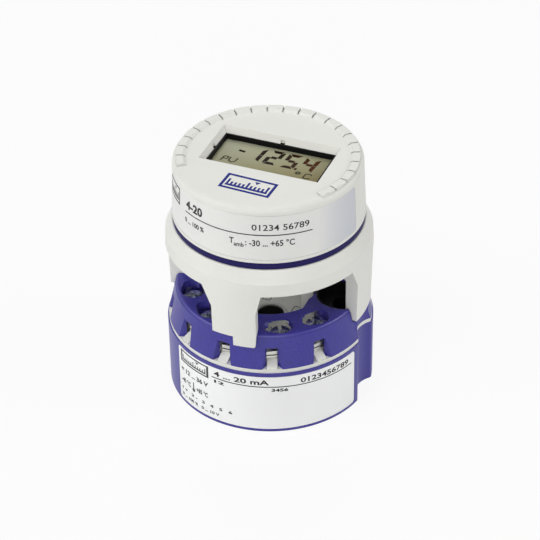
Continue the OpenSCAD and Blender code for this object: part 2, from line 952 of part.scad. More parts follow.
// What is cut from a leg that stands on the cover, leaving a thin tab outside the cover's wall
module leg_foot_cut(deg) {
    to_deg = deg + leg_half_deg;
    ring(leg_in_r - cut, leg_r(z_foot) - tab_t, z_tab - cut, z_foot);
    outward(deg - leg_half_deg + tab_step_deg, leg_in_r - cut, bracket_r + cut, [
        [0, z_tab - cut],
        [0, z_foot],
        [-leg_span, z_foot],
        [-leg_span, z_tab - cut]
    ]);
    outward(to_deg, leg_in_r - cut, bracket_r + cut, [
        [0, z_tab + tab_taper_h],
        [-tab_taper, z_tab + tab_corner],
        [-tab_taper - tab_corner - cut, z_tab - cut],
        [cut, z_tab - cut],
        [cut, z_tab + tab_taper_h]
    ]);
}

module clip_bracket() {
    color(white)
        difference() {
            union() {
                rotate_extrude()
                    polygon([
                        [spindle_hole_r, z_floor_under],
                        [skirt_in_r, z_floor_under],
                        [skirt_in_r, z_skirt],
                        [bracket_r, z_skirt],
                        [bracket_r - shoulder_in, z_shoulder],
                        [rim_in_r + rim_w, z_bracket_top],
                        [rim_in_r, z_bracket_top],
                        [rim_in_r, z_floor],
                        [spindle_hole_r, z_floor]
                    ]);
                for (deg = [0, half_turn]) {
                    leg(deg + leg_clock_deg, z_leg);
                    difference() {
                        leg(deg + quarter + leg_clock_deg, z_tab);
                        leg_foot_cut(deg + quarter + leg_clock_deg);
                    }
                }
                intersection() {
                    ring(stop_in_r, stop_in_r + stop_w, z_floor - cut / 2, z_floor + stop_h);
                    wedge(half_turn - stop_deg / 2, half_turn + stop_deg / 2, bracket_r,
                        z_floor - cut, z_base + groove_h);
                }
            }
            at_mounts()
                rod(leg_relief_r, z_leg - cut, z_floor_under, [mount_x, 0]);
        }
}

module plug_block() {
    color(pale_grey)
        difference() {
            union() {
                translate([-arm_back, -arm_front, z_arm])
                    cube([arm_back + plug_x + plug_w / 2, arm_front + plug_y + plug_l / 2, arm_t]);
                for (x = [-arm_back, plug_x + plug_w / 2 - arm_pad])
                    translate([x, -arm_front, z_arm])
                        cube([arm_pad, arm_front + plug_y + plug_l / 2, z_floor_under - z_arm]);
                block([plug_x, plug_y], [plug_w, plug_l], z_socket + loose_gap, z_arm + arm_t);
            }
            rod(lead_core_r + loose_gap, z_arm + arm_t / 2, z_floor_under + cut);
            rod(spindle_r + snap_step + loose_gap, z_arm + arm_t, z_floor_under + cut);
        }
}

module plug_pins() {
    color(gold)
        at_contacts()
            rod(pin_r, z_plate + sleeve_floor + pin_end_gap, z_socket + loose_gap);
}

// Solid form of the display housing: sloping side, rounded rim, flat top
module housing_form() {
    rim_z = z_top_face - head_edge_r;
    rim_x = housing_side_r(rim_z) - head_edge_r;
    rotate_extrude()
        union() {
            polygon([
                [0, z_head],
                [housing_r, z_head],
                [housing_side_r(rim_z), rim_z],
                [rim_x, rim_z],
                [rim_x, z_top_face],
                [0, z_top_face]
            ]);
            intersection() {
                translate([rim_x, rim_z])
                    circle(r = head_edge_r);
                translate([rim_x - head_edge_r, rim_z])
                    square(2 * head_edge_r);
            }
        }
}

// Window in the top of the housing, bevelled all round
module window_cut() {
    half_x = window_x / 2;
    half_y = window_y / 2;
    over = head_top_t + cut;
    slope = window_bevel / head_top_t;
    intersection() {
        translate([0, window_at + window_y, 0])
            rotate([quarter, 0, 0])
                linear_extrude(height = 2 * window_y)
                    polygon([
                        [-half_x, z_housing_under - cut],
                        [half_x, z_housing_under - cut],
                        [half_x, z_housing_under],
                        [half_x + slope * over, z_housing_under + over],
                        [-half_x - slope * over, z_housing_under + over],
                        [-half_x, z_housing_under]
                    ]);
        translate([-window_x, window_at, 0])
            rotate([quarter, 0, quarter])
                linear_extrude(height = 2 * window_x)
                    polygon([
                        [-half_y, z_housing_under - cut],
                        [half_y, z_housing_under - cut],
                        [half_y, z_housing_under],
                        [half_y + slope * over, z_housing_under + over],
                        [-half_y - slope * over, z_housing_under + over],
                        [-half_y, z_housing_under]
                    ]);
    }
}

// One grip pad, with a slope on its inner side
module grip_pad(deg) {
    out_r = housing_side_r(z_top_face) - grip_out_gap;
    in_r = out_r - grip_w;
    pad_deg = 360 / grips_per_turn;
    gap_deg = 2 * asin(grip_space / 2 / out_r);
    rotate([0, 0, deg + gap_deg / 2])
        rotate_extrude(angle = pad_deg - gap_deg)
            polygon([
                [in_r, z_top_face - cut / 2],
                [out_r, z_top_face - cut / 2],
                [out_r, z_top_face + grip_h],
                [in_r + grip_slope, z_top_face + grip_h],
                [in_r, z_top_face]
            ]);
}

module display_housing() {
    label_low = z_head + head_label_low - label_gap;
    label_high = z_head + head_label_high + label_gap;
    color(white)
        difference() {
            union() {
                difference() {
                    housing_form();
                    rod(housing_in_r, z_head - cut, z_housing_under);
                }
                for (i = [0 : grip_count - 1])
                    grip_pad(quarter + (i - grip_count / 2) * 360 / grips_per_turn);
            }
            window_cut();
            for (side = [-1, 1]) {
                block([side * window_x / 2, window_at], [2 * mould_notch, mould_notch_w],
                    z_housing_under - cut, z_housing_under + head_top_t / 2);
                block([mould_notch_at, window_at + side * window_y / 2], [mould_notch_w, 2 * mould_notch],
                    z_housing_under - cut, z_housing_under + head_top_t / 2);
            }
            label_shell(
                [housing_side_r(label_low) - label_seat_t, housing_side_r(label_high) - label_seat_t],
                [housing_r + cut, housing_r + cut], label_low, label_high,
                front_deg - head_label_half_deg - label_edge_deg,
                front_deg + head_label_half_deg + label_edge_deg);
        }
}

module display_base() {
    color(blue)
        difference() {
            union() {
                difference() {
                    union() {
                        rod(base_r, z_base, z_head);
                        rod(base_rim_r, z_base_rim, z_head);
                    }
                    rod(base_room_r, z_base + base_floor_t, z_head + cut);
                    difference() {
                        ring(stop_in_r - loose_gap, stop_in_r + stop_w + loose_gap, z_base - cut, z_groove);
                        wedge(-stop_deg / 2, stop_deg / 2, bracket_r, z_base - cut, z_groove + cut);
                    }
                }
                ring(base_room_r, base_spigot_r, z_base + base_floor_t, z_board);
                rod(spindle_r, z_snap, z_base + base_floor_t / 2);
                rotate_extrude()
                    polygon([
                        [0, z_snap],
                        [spindle_r, z_snap],
                        [spindle_r + snap_step, z_snap_top - snap_h / 3],
                        [spindle_r + snap_step, z_snap_top],
                        [0, z_snap_top]
                    ]);
            }
            rod(spindle_bore_r, z_snap - cut, z_base + base_floor_t + cut);
            for (deg = [0, quarter])
                rotate([0, 0, deg])
                    block([0, 0], [4 * spindle_r, snap_slot], z_snap - cut, z_snap + snap_slot_h);
        }
}

module lcd_bezel() {
    color(black)
        difference() {
            block([0, window_at], [window_x + 2 * bezel_rim, window_y + 2 * bezel_rim],
                z_bezel, z_housing_under);
            block([0, window_at], [window_x - 2 * bezel_lip, window_y - 2 * bezel_lip],
                z_bezel - cut, z_housing_under + cut);
        }
}

module lcd_panel() {
    color(lcd_grey)
        block([0, window_at], [window_x + 2 * bezel_rim - 2 * panel_step,
            window_y + 2 * bezel_rim - 2 * panel_step], z_panel, z_bezel);
}

module contact_strips() {
    strip_y = window_y / 2 + bezel_rim - panel_step - strip_w / 2;
    color(resin)
        for (side = [-1, 1])
            block([0, window_at + side * strip_y], [window_x + 2 * bezel_rim - 2 * strip_short, strip_w],
                z_board_top, z_panel);
}

module display_board() {
    color(board_green)
        rod(base_spigot_r - fit_gap, z_board, z_board_top);
}

module display_chips() {
    color(black) {
        block(driver_at, [driver_w, driver_w], z_board - driver_t, z_board);
        block(cell_at, [cell_w, cell_w], z_board - driver_t, z_board);
        ring(lead_core_r + run_gap, jack_r, z_board - jack_h, z_board);
    }
}

module link_lead() {
    color(black)
        rod(lead_core_r, z_arm + arm_t / 2 + loose_gap, z_board);
}

module display_label() {
    low = z_head + head_label_low;
    high = z_head + head_label_high;
    low_r = housing_side_r(low) - label_sink;
    high_r = housing_side_r(high) - label_sink;
    color(paper)
        label_shell([low_r - label_t, high_r - label_t], [low_r, high_r], low, high,
            front_deg - head_label_half_deg, front_deg + head_label_half_deg);
}

lower_cup();
mount_bushes();
terminal_carrier();
wiring_label();
terminal_cover();
contact_bars();
main_board();
board_chips();
signal_transformer();
potting_resin();
interface_socket();
socket_sleeves();
body_label();
for (k = [0 : 2 * terminals_per_side - 1]) {
    terminal_screw(k);
    clamp_plate(k);
}
clip_bracket();
plug_block();
plug_pins();
display_housing();
display_base();
lcd_bezel();
lcd_panel();
contact_strips();
display_board();
display_chips();
link_lead();
display_label();
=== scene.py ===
import bmesh
import bpy
import json
import math
from mathutils import Matrix, Vector


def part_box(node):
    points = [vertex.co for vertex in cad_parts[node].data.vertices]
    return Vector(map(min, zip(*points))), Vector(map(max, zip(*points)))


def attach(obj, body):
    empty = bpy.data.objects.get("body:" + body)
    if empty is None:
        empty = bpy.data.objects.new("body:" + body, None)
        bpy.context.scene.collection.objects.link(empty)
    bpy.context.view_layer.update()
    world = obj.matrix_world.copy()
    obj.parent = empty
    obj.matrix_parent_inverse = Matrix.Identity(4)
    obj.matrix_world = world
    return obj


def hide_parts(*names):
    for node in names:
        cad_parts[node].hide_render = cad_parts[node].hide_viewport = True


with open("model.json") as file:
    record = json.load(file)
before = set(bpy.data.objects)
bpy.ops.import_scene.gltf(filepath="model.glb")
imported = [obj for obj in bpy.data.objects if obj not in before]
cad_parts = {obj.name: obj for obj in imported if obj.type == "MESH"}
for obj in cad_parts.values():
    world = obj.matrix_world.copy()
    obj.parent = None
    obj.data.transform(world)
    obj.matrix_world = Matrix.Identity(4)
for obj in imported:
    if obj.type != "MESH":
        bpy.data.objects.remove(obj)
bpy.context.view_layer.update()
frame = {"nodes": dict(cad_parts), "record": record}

# Sizes in millimetres that the frame doesn't give. Those of solids repeat part.scad.
MM = 0.001
GRIP_H = 0.5
HEAD_DRAFT = 0.55
LABEL_SINK = 0.03
COVER_DRAFT = 1.75
COVER_EDGE = 0.6
HAIR = 0.01
INK_LIFT = 0.012
STRIP = 0.5
nodes = frame["nodes"]
scene = bpy.context.scene


def mm(value):
    return value * MM


def top(node):
    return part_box(node)[1].z / MM


def bottom(node):
    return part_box(node)[0].z / MM


def reach(node):
    """How far a node comes out from the upright axis through the origin."""
    return max(math.hypot(v.co.x, v.co.y) for v in nodes[node].data.vertices) / MM


def final_mesh(thing):
    """The mesh of an object with its modifiers, or of a text."""
    bpy.context.view_layer.update()
    return bpy.data.meshes.new_from_object(thing.evaluated_get(bpy.context.evaluated_depsgraph_get()))


# Camera: fitted to the photograph. Angles are in degrees and lengths in millimetres.

CAMERA_TURN = 22.5
CAMERA_LIFT = 36.058
CAMERA_ROLL = -0.95
CAMERA_TARGET = (-4.72, 11.41, 16.96)
CAMERA_AWAY = 446.377
LENS = 135.92
SENSOR = 36


def place_camera():
    turn = math.radians(CAMERA_TURN)
    right = Vector((math.cos(turn), math.sin(turn), 0))
    lift = math.radians(CAMERA_LIFT)
    back = Vector((math.cos(lift) * right.y, -math.cos(lift) * right.x, math.sin(lift)))
    up = back.cross(right)
    roll = math.radians(CAMERA_ROLL)
    x_axis = right * math.cos(roll) + up * math.sin(roll)
    y_axis = up * math.cos(roll) - right * math.sin(roll)
    position = Vector(CAMERA_TARGET) * MM + back * mm(CAMERA_AWAY)
    data = bpy.data.cameras.new("camera")
    data.sensor_width = SENSOR
    data.lens = LENS
    data.clip_start = 0.01
    data.clip_end = 20
    camera = bpy.data.objects.new("camera", data)
    scene.collection.objects.link(camera)
    rows = [[x_axis[i], y_axis[i], back[i], position[i]] for i in range(3)]
    camera.matrix_world = Matrix(rows + [[0, 0, 0, 1]])
    scene.camera = camera


place_camera()


# Materials

def linear(r, g, b):
    def one(v):
        v /= 255
        return v / 12.92 if v <= 0.04045 else ((v + 0.055) / 1.055) ** 2.4
    return (one(r), one(g), one(b))


class Shader:
    """A material with a Principled shader, and short ways to add the nodes that feed it."""

    def __init__(self, name):
        self.mat = bpy.data.materials.new(name)
        self.mat.use_nodes = True
        self.tree = self.mat.node_tree
        self.shader = self.tree.nodes["Principled BSDF"]
        self.place = self.new("ShaderNodeTexCoord").outputs["Object"]

    def new(self, kind, **settings):
        node = self.tree.nodes.new(kind)
        for key, value in settings.items():
            setattr(node, key, value)
        return node

    def link(self, a, b):
        self.tree.links.new(a, b)

    def stretched(self, scale):
        node = self.new("ShaderNodeMapping")
        node.inputs["Scale"].default_value = scale
        self.link(self.place, node.inputs["Vector"])
        return node.outputs["Vector"]

    def noise(self, scale, detail=2.0, rough=0.5, vector=None):
        """Noise with scale cells to a metre, unless a vector with its own scale is given."""
        node = self.new("ShaderNodeTexNoise")
        node.inputs["Scale"].default_value = scale
        node.inputs["Detail"].default_value = detail
        node.inputs["Roughness"].default_value = rough
        self.link(vector or self.place, node.inputs["Vector"])
        return node.outputs["Fac"]

    def spread(self, value, low, high, start=0.3, end=0.7):
        """Maps a value from start..end to low..high, and holds it past the ends."""
        node = self.new("ShaderNodeMapRange")
        node.inputs["From Min"].default_value = start
        node.inputs["From Max"].default_value = end
        node.inputs["To Min"].default_value = low
        node.inputs["To Max"].default_value = high
        self.link(value, node.inputs["Value"])
        return node.outputs["Result"]

    def along(self, axis, start, end):
        """0 at one place on an axis and 1 at another, and even past them, in millimetres."""
        split = self.new("ShaderNodeSeparateXYZ")
        self.link(self.place, split.inputs["Vector"])
        return self.spread(split.outputs[axis], 0, 1, mm(start), mm(end))

    def ramp(self, value, stops):
        node = self.new("ShaderNodeValToRGB")
        ramp = node.color_ramp
        while len(ramp.elements) < len(stops):
            ramp.elements.new(0.5)
        for element, (at, colour) in zip(ramp.elements, stops):
            element.position = at
            element.color = (*colour, 1)
        self.link(value, node.inputs["Fac"])
        return node.outputs["Color"]

    def relief(self, height, depth, strength=1.0, edge=0.12):
        bump = self.new("ShaderNodeBump")
        bump.inputs["Strength"].default_value = strength
        bump.inputs["Distance"].default_value = mm(depth)
        self.link(height, bump.inputs["Height"])
        if edge:
            bevel = self.new("ShaderNodeBevel", samples=6)
            bevel.inputs["Radius"].default_value = mm(edge)
            self.link(bevel.outputs["Normal"], bump.inputs["Normal"])
        self.link(bump.outputs["Normal"], self.shader.inputs["Normal"])

    def scaled(self, colour, amount):
        node = self.new("ShaderNodeVectorMath", operation="SCALE")
        self.link(colour, node.inputs[0])
        self.link(amount, node.inputs["Scale"])
        return node.outputs["Vector"]

    def painted_bore_shade(self, radius, rim_z, dark):
        """Painted shade: 1 outside an upright bore on the axis, and falling to dark just below its rim,
        where the bore lies in shade.
        """
        wall = (radius + 0.02, radius + 0.06)
        rim = (rim_z - 0.7, rim_z - 0.1)
        flat = self.new("ShaderNodeVectorMath", operation="MULTIPLY")
        flat.inputs[1].default_value = (1, 1, 0)
        self.link(self.place, flat.inputs[0])
        away = self.new("ShaderNodeVectorMath", operation="LENGTH")
        self.link(flat.outputs["Vector"], away.inputs[0])
        split = self.new("ShaderNodeSeparateXYZ")
        self.link(self.place, split.inputs["Vector"])
        outside = self.spread(away.outputs["Value"], dark, 1, *map(mm, wall))
        above = self.spread(split.outputs["Z"], dark, 1, *map(mm, rim))
        both = self.new("ShaderNodeMath", operation="MAXIMUM")
        self.link(outside, both.inputs[0])
        self.link(above, both.inputs[1])
        return both.outputs["Value"]

    def set(self, **values):
        for key, value in values.items():
            self.shader.inputs[key.replace("_", " ")].default_value = value


def shade(colour, amount):
    return tuple(min(1.0, c * amount) for c in colour)


# Scales of the detail in moulded plastic and film, and how far the painted crevice shade reaches, in
# millimetres
SPECKLE = 0.24
CREVICE_SHADE_REACH = 0.7
PEEL = 0.7

# Places on X where the label film and the digits turn to their painted sheen colours, in millimetres
FILM_SHEEN_TURN = (15.5, 19.5)
DIGIT_SHEEN_TURN = (2, 10)


def moulded(name, colour, rough, grain=0.22, depth=0.006, change=0.05, edge=0.12, specular=0.5,
            speckle=0.0, bore_shade=None, crevice_shade=0.0):
    """Moulded plastic: faint clouds, speckle, painted shade in crevices and down a bore, over an eroded
    grain.
    """
    s = Shader(name)
    clouds = s.noise(90, 3)
    tone = s.ramp(clouds, [(0.3, shade(colour, 1 - change)), (0.7, shade(colour, 1 + change))])
    if speckle:
        dots = s.noise(1 / mm(SPECKLE), 2, 0.8)
        tone = s.scaled(tone, s.spread(dots, 1 - speckle, 1 + speckle, 0.35, 0.65))
    # Painted shade: darker down the bore.
    if bore_shade:
        tone = s.scaled(tone, s.painted_bore_shade(*bore_shade))
    # Painted shade: ambient occlusion darkens the colour in crevices.
    if crevice_shade:
        shade_in_crevices = s.new("ShaderNodeAmbientOcclusion", samples=8, only_local=True)
        shade_in_crevices.inputs["Distance"].default_value = mm(CREVICE_SHADE_REACH)
        tone = s.scaled(tone, s.spread(shade_in_crevices.outputs["AO"], 1 - crevice_shade, 1, 0.25, 0.8))
    s.link(tone, s.shader.inputs["Base Color"])
    grains = s.noise(1 / mm(grain), 3, 0.6)
    s.link(s.spread(grains, rough - 0.06, rough + 0.08), s.shader.inputs["Roughness"])
    s.set(Specular_IOR_Level=specular)
    s.relief(grains, depth, edge=edge)
    return s.mat


def metal(name, colour, rough, streaks=(900, 900, 60), dull=0.12, depth=0.002, edge=0.08):
    """Plated metal: fine streaks from rolling or turning, with dull patches."""
    s = Shader(name)
    fine = s.noise(1.0, 4, 0.6, s.stretched(streaks))
    patches = s.noise(700, 3)
    s.link(s.ramp(patches, [(0.3, shade(colour, 0.82)), (0.7, colour)]), s.shader.inputs["Base Color"])
    s.link(s.spread(fine, rough, rough + dull), s.shader.inputs["Roughness"])
    s.set(Metallic=1.0)
    s.relief(fine, depth, edge=edge)
    return s.mat


def film(name, colour, rough, far_sheen_colour=None):
    """Printed film: smooth, with a faint orange peel. It can turn to a painted sheen colour toward +X.
    """
    s = Shader(name)
    peel = s.noise(1 / mm(PEEL), 2)
    tone = s.ramp(s.along("X", *FILM_SHEEN_TURN), [(0, colour), (1, far_sheen_colour or colour)])
    s.link(s.scaled(tone, s.spread(peel, 0.99, 1, 0, 1)), s.shader.inputs["Base Color"])
    s.link(s.spread(peel, rough - 0.012, rough + 0.012, 0, 1), s.shader.inputs["Roughness"])
    s.relief(peel, 0.0006, edge=0)
    return s.mat


def ink(name, colour, rough=0.5, wear=0.25, specular=0.3, far_sheen_colour=None):
    """Printing ink, a little lighter where it lies thin. It can turn to a painted sheen colour toward
    +X.
    """
    s = Shader(name)
    thin = s.noise(2600, 3, 0.7)
    tone = s.ramp(s.along("X", *DIGIT_SHEEN_TURN), [(0, colour), (1, far_sheen_colour or colour)])
    s.link(s.scaled(tone, s.spread(thin, 1 + wear, 1, 0.25, 0.5)), s.shader.inputs["Base Color"])
    s.link(s.spread(thin, rough - 0.05, rough + 0.1), s.shader.inputs["Roughness"])
    s.set(Specular_IOR_Level=specular)
    return s.mat


def liquid_crystal(name):
    """Reflective display glass, with a painted reflection: greyer at the far left and warmer at the near
    right.
    """
    s = Shader(name)
    # Painted reflection: the colour turns from grey at the far left to olive at the near right.
    across = s.along("X", -13, 13)
    down = s.along("Y", 8, -3)
    both = s.new("ShaderNodeMath", operation="ADD")
    s.link(across, both.inputs[0])
    s.link(down, both.inputs[1])
    half = s.spread(both.outputs["Value"], 0, 1, 0, 2)
    s.link(s.ramp(half, [(0.15, linear(174, 175, 151)), (0.55, linear(158, 156, 124)),
                         (0.9, linear(142, 132, 84))]), s.shader.inputs["Base Color"])
    fine = s.noise(5000, 1)
    s.link(s.spread(fine, 0.12, 0.2), s.shader.inputs["Roughness"])
    s.set(Specular_IOR_Level=0.15)
    s.relief(fine, 0.0004, edge=0)
    return s.mat


def board(name):
    s = Shader(name)
    cells = s.new("ShaderNodeTexVoronoi", feature="DISTANCE_TO_EDGE")
    cells.inputs["Scale"].default_value = 260
    s.link(s.place, cells.inputs["Vector"])
    s.link(s.ramp(cells.outputs["Distance"], [(0.04, linear(40, 120, 70)), (0.1, linear(18, 78, 44))]),
           s.shader.inputs["Base Color"])
    s.link(s.spread(s.noise(1200), 0.3, 0.42), s.shader.inputs["Roughness"])
    s.relief(cells.outputs["Distance"], 0.02, edge=0.05)
    return s.mat


# The lead-through starts at the base, so its length is also the height of its rim
LEAD = next(m for m in frame["record"]["mounts"] if m["name"] == "lead_through")["dims"]
# Painted shade down the lead-through's bore: the pale moulding falls to this share of its colour.
BORE_SHADE = 0.02
LEAD_BORE_SHADE = (LEAD["r_mm"], LEAD["length_mm"], BORE_SHADE)

BLUE = moulded("blue_moulding", linear(54, 48, 141), 0.37, grain=0.24, depth=0.012, change=0.04,
               edge=0.16, specular=0.52, speckle=0.28)
# The display base ring: a darker copy of the blue with less sheen, painted as shade under the housing's
# overhang.
SHADED_RING_BLUE = moulded("shaded_ring_moulding", linear(30, 25, 82), 0.55, grain=0.26, depth=0.008, change=0.04,
                    edge=0.1, specular=0.15, speckle=0.08)
# White moulding: painted shade darkens its crevices.
WHITE = moulded("white_moulding", linear(229, 229, 223), 0.48, grain=0.3, depth=0.006, change=0.012,
                edge=0.14, speckle=0.012, crevice_shade=0.45)
# Pale moulding: painted shade down the lead-through's bore.
PALE = moulded("pale_moulding", linear(230, 230, 223), 0.5, grain=0.28, depth=0.006, change=0.02,
               edge=0.1, speckle=0.015, bore_shade=LEAD_BORE_SHADE)
BLACK = moulded("black_moulding", linear(10, 10, 12), 0.5, grain=0.2, depth=0.006, change=0.1, edge=0.08,
                specular=0.12)
CHIP = moulded("chip_resin", linear(30, 30, 33), 0.55, grain=0.12, depth=0.004, change=0.1, edge=0.05)
RESIN = moulded("cast_resin", linear(52, 52, 60), 0.3, grain=0.8, depth=0.006, change=0.1, edge=0.05)
ZINC = metal("zinc_plate", linear(208, 213, 222), 0.2, dull=0.14)
TIN = metal("tin_plate", linear(215, 214, 208), 0.26, streaks=(500, 500, 500), dull=0.18)
GOLD = metal("gold_flash", linear(226, 190, 110), 0.22)
# The display label's film turns to a painted bluish-silver sheen toward its right end.
LABEL = film("label_film", linear(230, 230, 227), 0.32, far_sheen_colour=linear(200, 203, 210))
BRIGHT_LABEL = film("bright_label_film", linear(248, 249, 248), 0.3)
PAPER = film("wiring_film", linear(242, 242, 234), 0.4)
LCD = liquid_crystal("display_glass")
BOARD = board("circuit_board")
BLACK_INK = ink("black_ink", linear(33, 33, 36))
DARK_INK = ink("dark_ink", linear(44, 44, 47))
GREY_INK = ink("grey_ink", linear(58, 58, 61))
BLUE_INK = ink("blue_ink", linear(24, 37, 122), specular=0.15)
# The digits turn to a lighter painted sheen toward the right, where the view angle lightens them.
SEGMENT = ink("display_segment", linear(31, 17, 8), rough=0.2, wear=0.05, specular=0.05,
              far_sheen_colour=linear(80, 40, 8))
THIN_SEGMENT = ink("display_mark", linear(66, 62, 42), rough=0.2, wear=0.1, specular=0.1)

LOOKS = {
    "lower_cup": BLUE, "terminal_cover": BLUE, "display_base": SHADED_RING_BLUE,
    "clip_bracket": WHITE, "display_housing": WHITE,
    "terminal_carrier": PALE, "interface_socket": PALE, "plug_block": PALE,
    "mount_bushes": BLACK, "lcd_bezel": BLACK, "contact_strips": BLACK, "link_lead": BLACK,
    "wiring_label": PAPER, "body_label": BRIGHT_LABEL, "display_label": LABEL,
    "contact_bars": TIN, "socket_sleeves": GOLD, "plug_pins": GOLD,
    "main_board": BOARD, "display_board": BOARD,
    "board_chips": CHIP, "display_chips": CHIP,
    "signal_transformer": RESIN, "potting_resin": RESIN,
    "lcd_panel": LCD,
}
for name, node in nodes.items():
    look = LOOKS.get(name)
    if name.startswith("terminal_screw"):
        look = ZINC
    elif name.startswith("clamp_plate"):
        look = TIN
    node.data.materials.clear()
    node.data.materials.append(look)


# Cover: the ends of its ribs stand proud of its rounded rim, so a copy is cut to the rim's outline

def turned(name, outline, steps=360):
    """A solid turned about the upright axis from (radius, height) points, from its foot up."""
    points, faces = [], []
    for i in range(steps):
        angle = 2 * math.pi * i / steps
        points += [(r * math.cos(angle) * MM, r * math.sin(angle) * MM, z * MM) for r, z in outline]
    n = len(outline)
    for i in range(steps):
        j = (i + 1) % steps
        faces += [[i * n + k, j * n + k, j * n + k + 1, i * n + k + 1] for k in range(n - 1)]
    faces.append([i * n for i in reversed(range(steps))])
    faces.append([i * n + n - 1 for i in range(steps)])
    mesh = bpy.data.meshes.new(name)
    mesh.from_pydata(points, [], faces)
    return mesh


def cut_to_rim(node):
    low, high, foot = bottom(node), top(node), reach(node)

    def wall(z):
        return foot - COVER_DRAFT * (z - low) / (high - low)

    # The tool is clear of the cover below start, and follows its wall and rim from there up
    clearance = 2
    start = high - 4 * COVER_EDGE
    ledge = high - COVER_EDGE
    centre = wall(high) - COVER_EDGE
    outline = [(foot + clearance, low - clearance), (foot + clearance, start),
               (wall(start) + HAIR, start), (wall(ledge) + HAIR, ledge + HAIR)]
    steps = 8
    for i in range(steps + 1):
        angle = math.radians(90 * i / steps)
        outline.append((centre + (COVER_EDGE + HAIR) * math.cos(angle),
                        ledge + HAIR + COVER_EDGE * math.sin(angle)))
    outline.append((centre, high + clearance))
    tool = bpy.data.objects.new("rim", turned("rim", outline))
    mesh = nodes[node].data.copy()
    join_seams(mesh)
    piece = bpy.data.objects.new("cover_moulding", mesh)
    for new in (tool, piece):
        scene.collection.objects.link(new)
    cut = piece.modifiers.new("rim", "BOOLEAN")
    cut.operation, cut.solver, cut.object = "INTERSECT", "EXACT", tool
    trimmed = final_mesh(piece)
    piece.modifiers.clear()
    bpy.data.objects.remove(tool)
    soften(trimmed)
    trimmed.materials.clear()
    trimmed.materials.append(BLUE)
    piece.data = trimmed
    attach(piece, "transmitter")
    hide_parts(node)


def join_seams(mesh):
    """Joins the points that the imported mesh has twice along its edges."""
    work = bmesh.new()
    work.from_mesh(mesh)
    bmesh.ops.remove_doubles(work, verts=work.verts[:], dist=mm(0.001))
    work.to_mesh(mesh)
    work.free()


def soften(mesh, sharp_deg=32):
    """Smooth shading, with the edges that turn by more than sharp_deg kept sharp."""
    if "custom_normal" in mesh.attributes:
        mesh.attributes.remove(mesh.attributes["custom_normal"])
    work = bmesh.new()
    work.from_mesh(mesh)
    for face in work.faces:
        face.smooth = True
    for edge in work.edges:
        edge.smooth = edge.calc_face_angle(math.pi) < math.radians(sharp_deg)
    work.to_mesh(mesh)
    work.free()


cut_to_rim("terminal_cover")


# Printing

class Print:
    """Flat shapes in millimetres that are laid on a surface of the part in one go."""

    def __init__(self):
        self.points = []
        self.faces = []

    def poly(self, points):
        start = len(self.points)
        self.points += [tuple(p) for p in points]
        self.faces.append(list(range(start, len(self.points))))

    def bar(self, x0, y0, x1, y1):
        self.poly([(x0, y0), (x1, y0), (x1, y1), (x0, y1)])

    def line(self, a, b, width):
        dx, dy = b[0] - a[0], b[1] - a[1]
        size = math.hypot(dx, dy)
        nx, ny = -dy / size * width / 2, dx / size * width / 2
        self.poly([(a[0] + nx, a[1] + ny), (a[0] - nx, a[1] - ny),
                   (b[0] - nx, b[1] - ny), (b[0] + nx, b[1] + ny)])

    def path(self, points, width):
        for a, b in zip(points, points[1:]):
            self.line(a, b, width)

    def ring(self, centre, radius, width, steps=32):
        for i in range(steps):
            a, b = (2 * math.pi * k / steps for k in (i, i + 1))
            quad = []
            for angle, r in ((a, radius), (b, radius), (b, radius - width), (a, radius - width)):
                quad.append((centre[0] + r * math.cos(angle), centre[1] + r * math.sin(angle)))
            self.poly(quad)

    def row(self, words, start, end, foot, size, bold):
        """One row of text that is stretched to fill the width from start to end."""
        data = bpy.data.curves.new("words", "FONT")
        data.body = words
        data.size = size
        data.offset = bold
        data.resolution_u = 3
        holder = bpy.data.objects.new("words", data)
        scene.collection.objects.link(holder)
        mesh = final_mesh(holder)
        across = [v.co.x for v in mesh.vertices]
        stretch = (end - start) / (max(across) - min(across))
        first = len(self.points)
        for v in mesh.vertices:
            self.points.append((start + (v.co.x - min(across)) * stretch, foot + v.co.y))
        for face in mesh.polygons:
            self.faces.append([first + i for i in face.vertices])
        bpy.data.objects.remove(holder)
        bpy.data.curves.remove(data)
        bpy.data.meshes.remove(mesh)

    def lay(self, name, place, look, body, step=0.0):
        mesh = bpy.data.meshes.new(name)
        mesh.from_pydata([(x, y, 0) for x, y in self.points], [], self.faces)
        if step:
            cut_in_strips(mesh, step)
        for v in mesh.vertices:
            v.co = Vector(place(v.co.x, v.co.y)) * MM
        mesh.materials.append(look)
        mesh.update()
        piece = bpy.data.objects.new(name, mesh)
        scene.collection.objects.link(piece)
        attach(piece, body)


def cut_in_strips(mesh, step):
    """Cuts flat print into narrow strips, so that it can follow a round wall."""
    work = bmesh.new()
    work.from_mesh(mesh)
    ends = [v.co.x for v in work.verts]
    for i in range(math.ceil(min(ends) / step), math.ceil(max(ends) / step)):
        everything = work.verts[:] + work.edges[:] + work.faces[:]
        bmesh.ops.bisect_plane(work, geom=everything, plane_co=(i * step, 0, 0), plane_no=(1, 0, 0))
    work.to_mesh(mesh)
    work.free()


def on_plane(height):
    return lambda x, y: (x, y, height)


def on_round(radius, middle_deg, lift=INK_LIFT):
    """Places print on a side wall: x runs to the right along the wall, y is the height."""
    def place(x, y):
        r = radius(y) if callable(radius) else radius
        foot_r = radius(0) if callable(radius) else radius
        angle = math.radians(middle_deg) + x / foot_r
        return ((r + lift) * math.cos(angle), (r + lift) * math.sin(angle), y)
    return place


